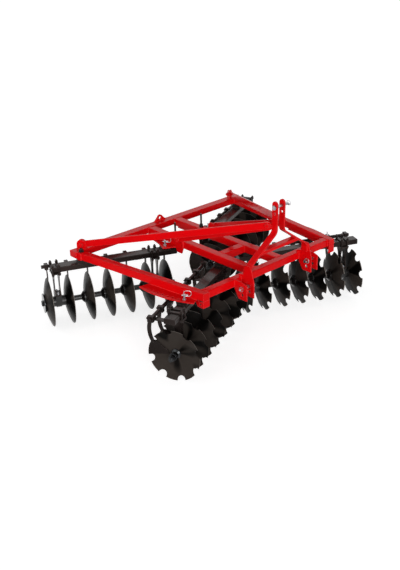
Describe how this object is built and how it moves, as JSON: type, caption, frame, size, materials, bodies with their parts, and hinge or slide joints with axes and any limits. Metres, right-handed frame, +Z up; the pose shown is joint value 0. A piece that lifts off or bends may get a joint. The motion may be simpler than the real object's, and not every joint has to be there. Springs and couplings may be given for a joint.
{
  "type": "disc harrow",
  "caption": "Three-point mounted X-type disc harrow: box-tube frame, mast, and gangs of dished discs, notched in front and plain behind, that swivel to set their cutting angle.",
  "frame": {"origin": "on the ground at the middle of the bounding box", "axes": "+Y forward in the direction of travel, +X to the right, +Z up"},
  "size_m": [2.85, 1.9628, 1.2838],
  "materials": {
    "red_paint": "gloss",
    "black_paint": "satin",
    "disc_steel": "satin",
    "cast_black": "satin",
    "zinc": "satin"
  },
  "bodies": {
    "frame": {"brace_brackets": "red_paint", "centre_beams": "red_paint", "corner_brackets": "red_paint", "corner_plates": "red_paint", "cross_beam": "red_paint", "front_adjusting_plates": "red_paint", "front_beam": "red_paint", "hitch_pins": "zinc", "hitch_plates": "red_paint", "hold_down_bolts": "black_paint", "inner_brace_brackets": "red_paint", "inner_braces": "red_paint", "locking_pins": "zinc", "mast_tie": "red_paint", "mast_uprights": "red_paint", "outer_braces": "red_paint", "pivot_pins": "black_paint", "rear_adjusting_plates": "red_paint", "rear_beam": "red_paint", "rear_lug": "red_paint", "side_beams": "red_paint", "top_link_pin": "zinc"},
    "front_right_gang": {"front_right_bearings": "cast_black", "front_right_clamps": "black_paint", "front_right_gang_beam": "black_paint", "front_right_hangers": "black_paint", "front_right_scraper_bar": "black_paint", "front_right_scrapers": "black_paint"},
    "front_right_rotor": {"front_right_axle": "black_paint", "front_right_discs": "disc_steel", "front_right_spools": "cast_black"},
    "front_left_gang": {"front_left_bearings": "cast_black", "front_left_clamps": "black_paint", "front_left_gang_beam": "black_paint", "front_left_hangers": "black_paint", "front_left_scraper_bar": "black_paint", "front_left_scrapers": "black_paint"},
    "front_left_rotor": {"front_left_axle": "black_paint", "front_left_discs": "disc_steel", "front_left_spools": "cast_black"},
    "rear_right_gang": {"rear_right_bearings": "cast_black", "rear_right_clamps": "black_paint", "rear_right_gang_beam": "black_paint", "rear_right_hangers": "black_paint", "rear_right_scraper_bar": "black_paint", "rear_right_scrapers": "black_paint"},
    "rear_right_rotor": {"rear_right_axle": "black_paint", "rear_right_discs": "disc_steel", "rear_right_spools": "cast_black"},
    "rear_left_gang": {"rear_left_bearings": "cast_black", "rear_left_clamps": "black_paint", "rear_left_gang_beam": "black_paint", "rear_left_hangers": "black_paint", "rear_left_scraper_bar": "black_paint", "rear_left_scrapers": "black_paint"},
    "rear_left_rotor": {"rear_left_axle": "black_paint", "rear_left_discs": "disc_steel", "rear_left_spools": "cast_black"}
  },
  "joints": [
    {"name": "front_right_angle", "type": "hinge", "parent": "frame", "child": "front_right_gang", "pos_m": [0.168, 0.29918, 0.578], "axis": [0, 0, 1], "range_deg": [-22.5, 0]},
    {"name": "front_right_spin", "type": "hinge", "parent": "front_right_gang", "child": "front_right_rotor", "pos_m": [0.16054, 0.31556, 0.23], "axis": [0.91, 0.4147, 0], "continuous": true},
    {"name": "front_left_angle", "type": "hinge", "parent": "frame", "child": "front_left_gang", "pos_m": [-0.168, 0.29918, 0.578], "axis": [0, 0, 1], "range_deg": [0, 22.5]},
    {"name": "front_left_spin", "type": "hinge", "parent": "front_left_gang", "child": "front_left_rotor", "pos_m": [-0.16054, 0.31556, 0.23], "axis": [0.91, -0.4147, 0], "continuous": true},
    {"name": "rear_right_angle", "type": "hinge", "parent": "frame", "child": "rear_right_gang", "pos_m": [1.018, -0.65731, 0.578], "axis": [0, 0, 1], "range_deg": [0, 15]},
    {"name": "rear_right_spin", "type": "hinge", "parent": "rear_right_gang", "child": "rear_right_rotor", "pos_m": [1.02503, -0.64075, 0.23], "axis": [0.9205, -0.3907, 0], "continuous": true},
    {"name": "rear_left_angle", "type": "hinge", "parent": "frame", "child": "rear_left_gang", "pos_m": [-1.018, -0.65731, 0.578], "axis": [0, 0, 1], "range_deg": [-15, 0]},
    {"name": "rear_left_spin", "type": "hinge", "parent": "rear_left_gang", "child": "rear_left_rotor", "pos_m": [-1.02503, -0.64075, 0.23], "axis": [0.9205, 0.3907, 0], "continuous": true}
  ]
}
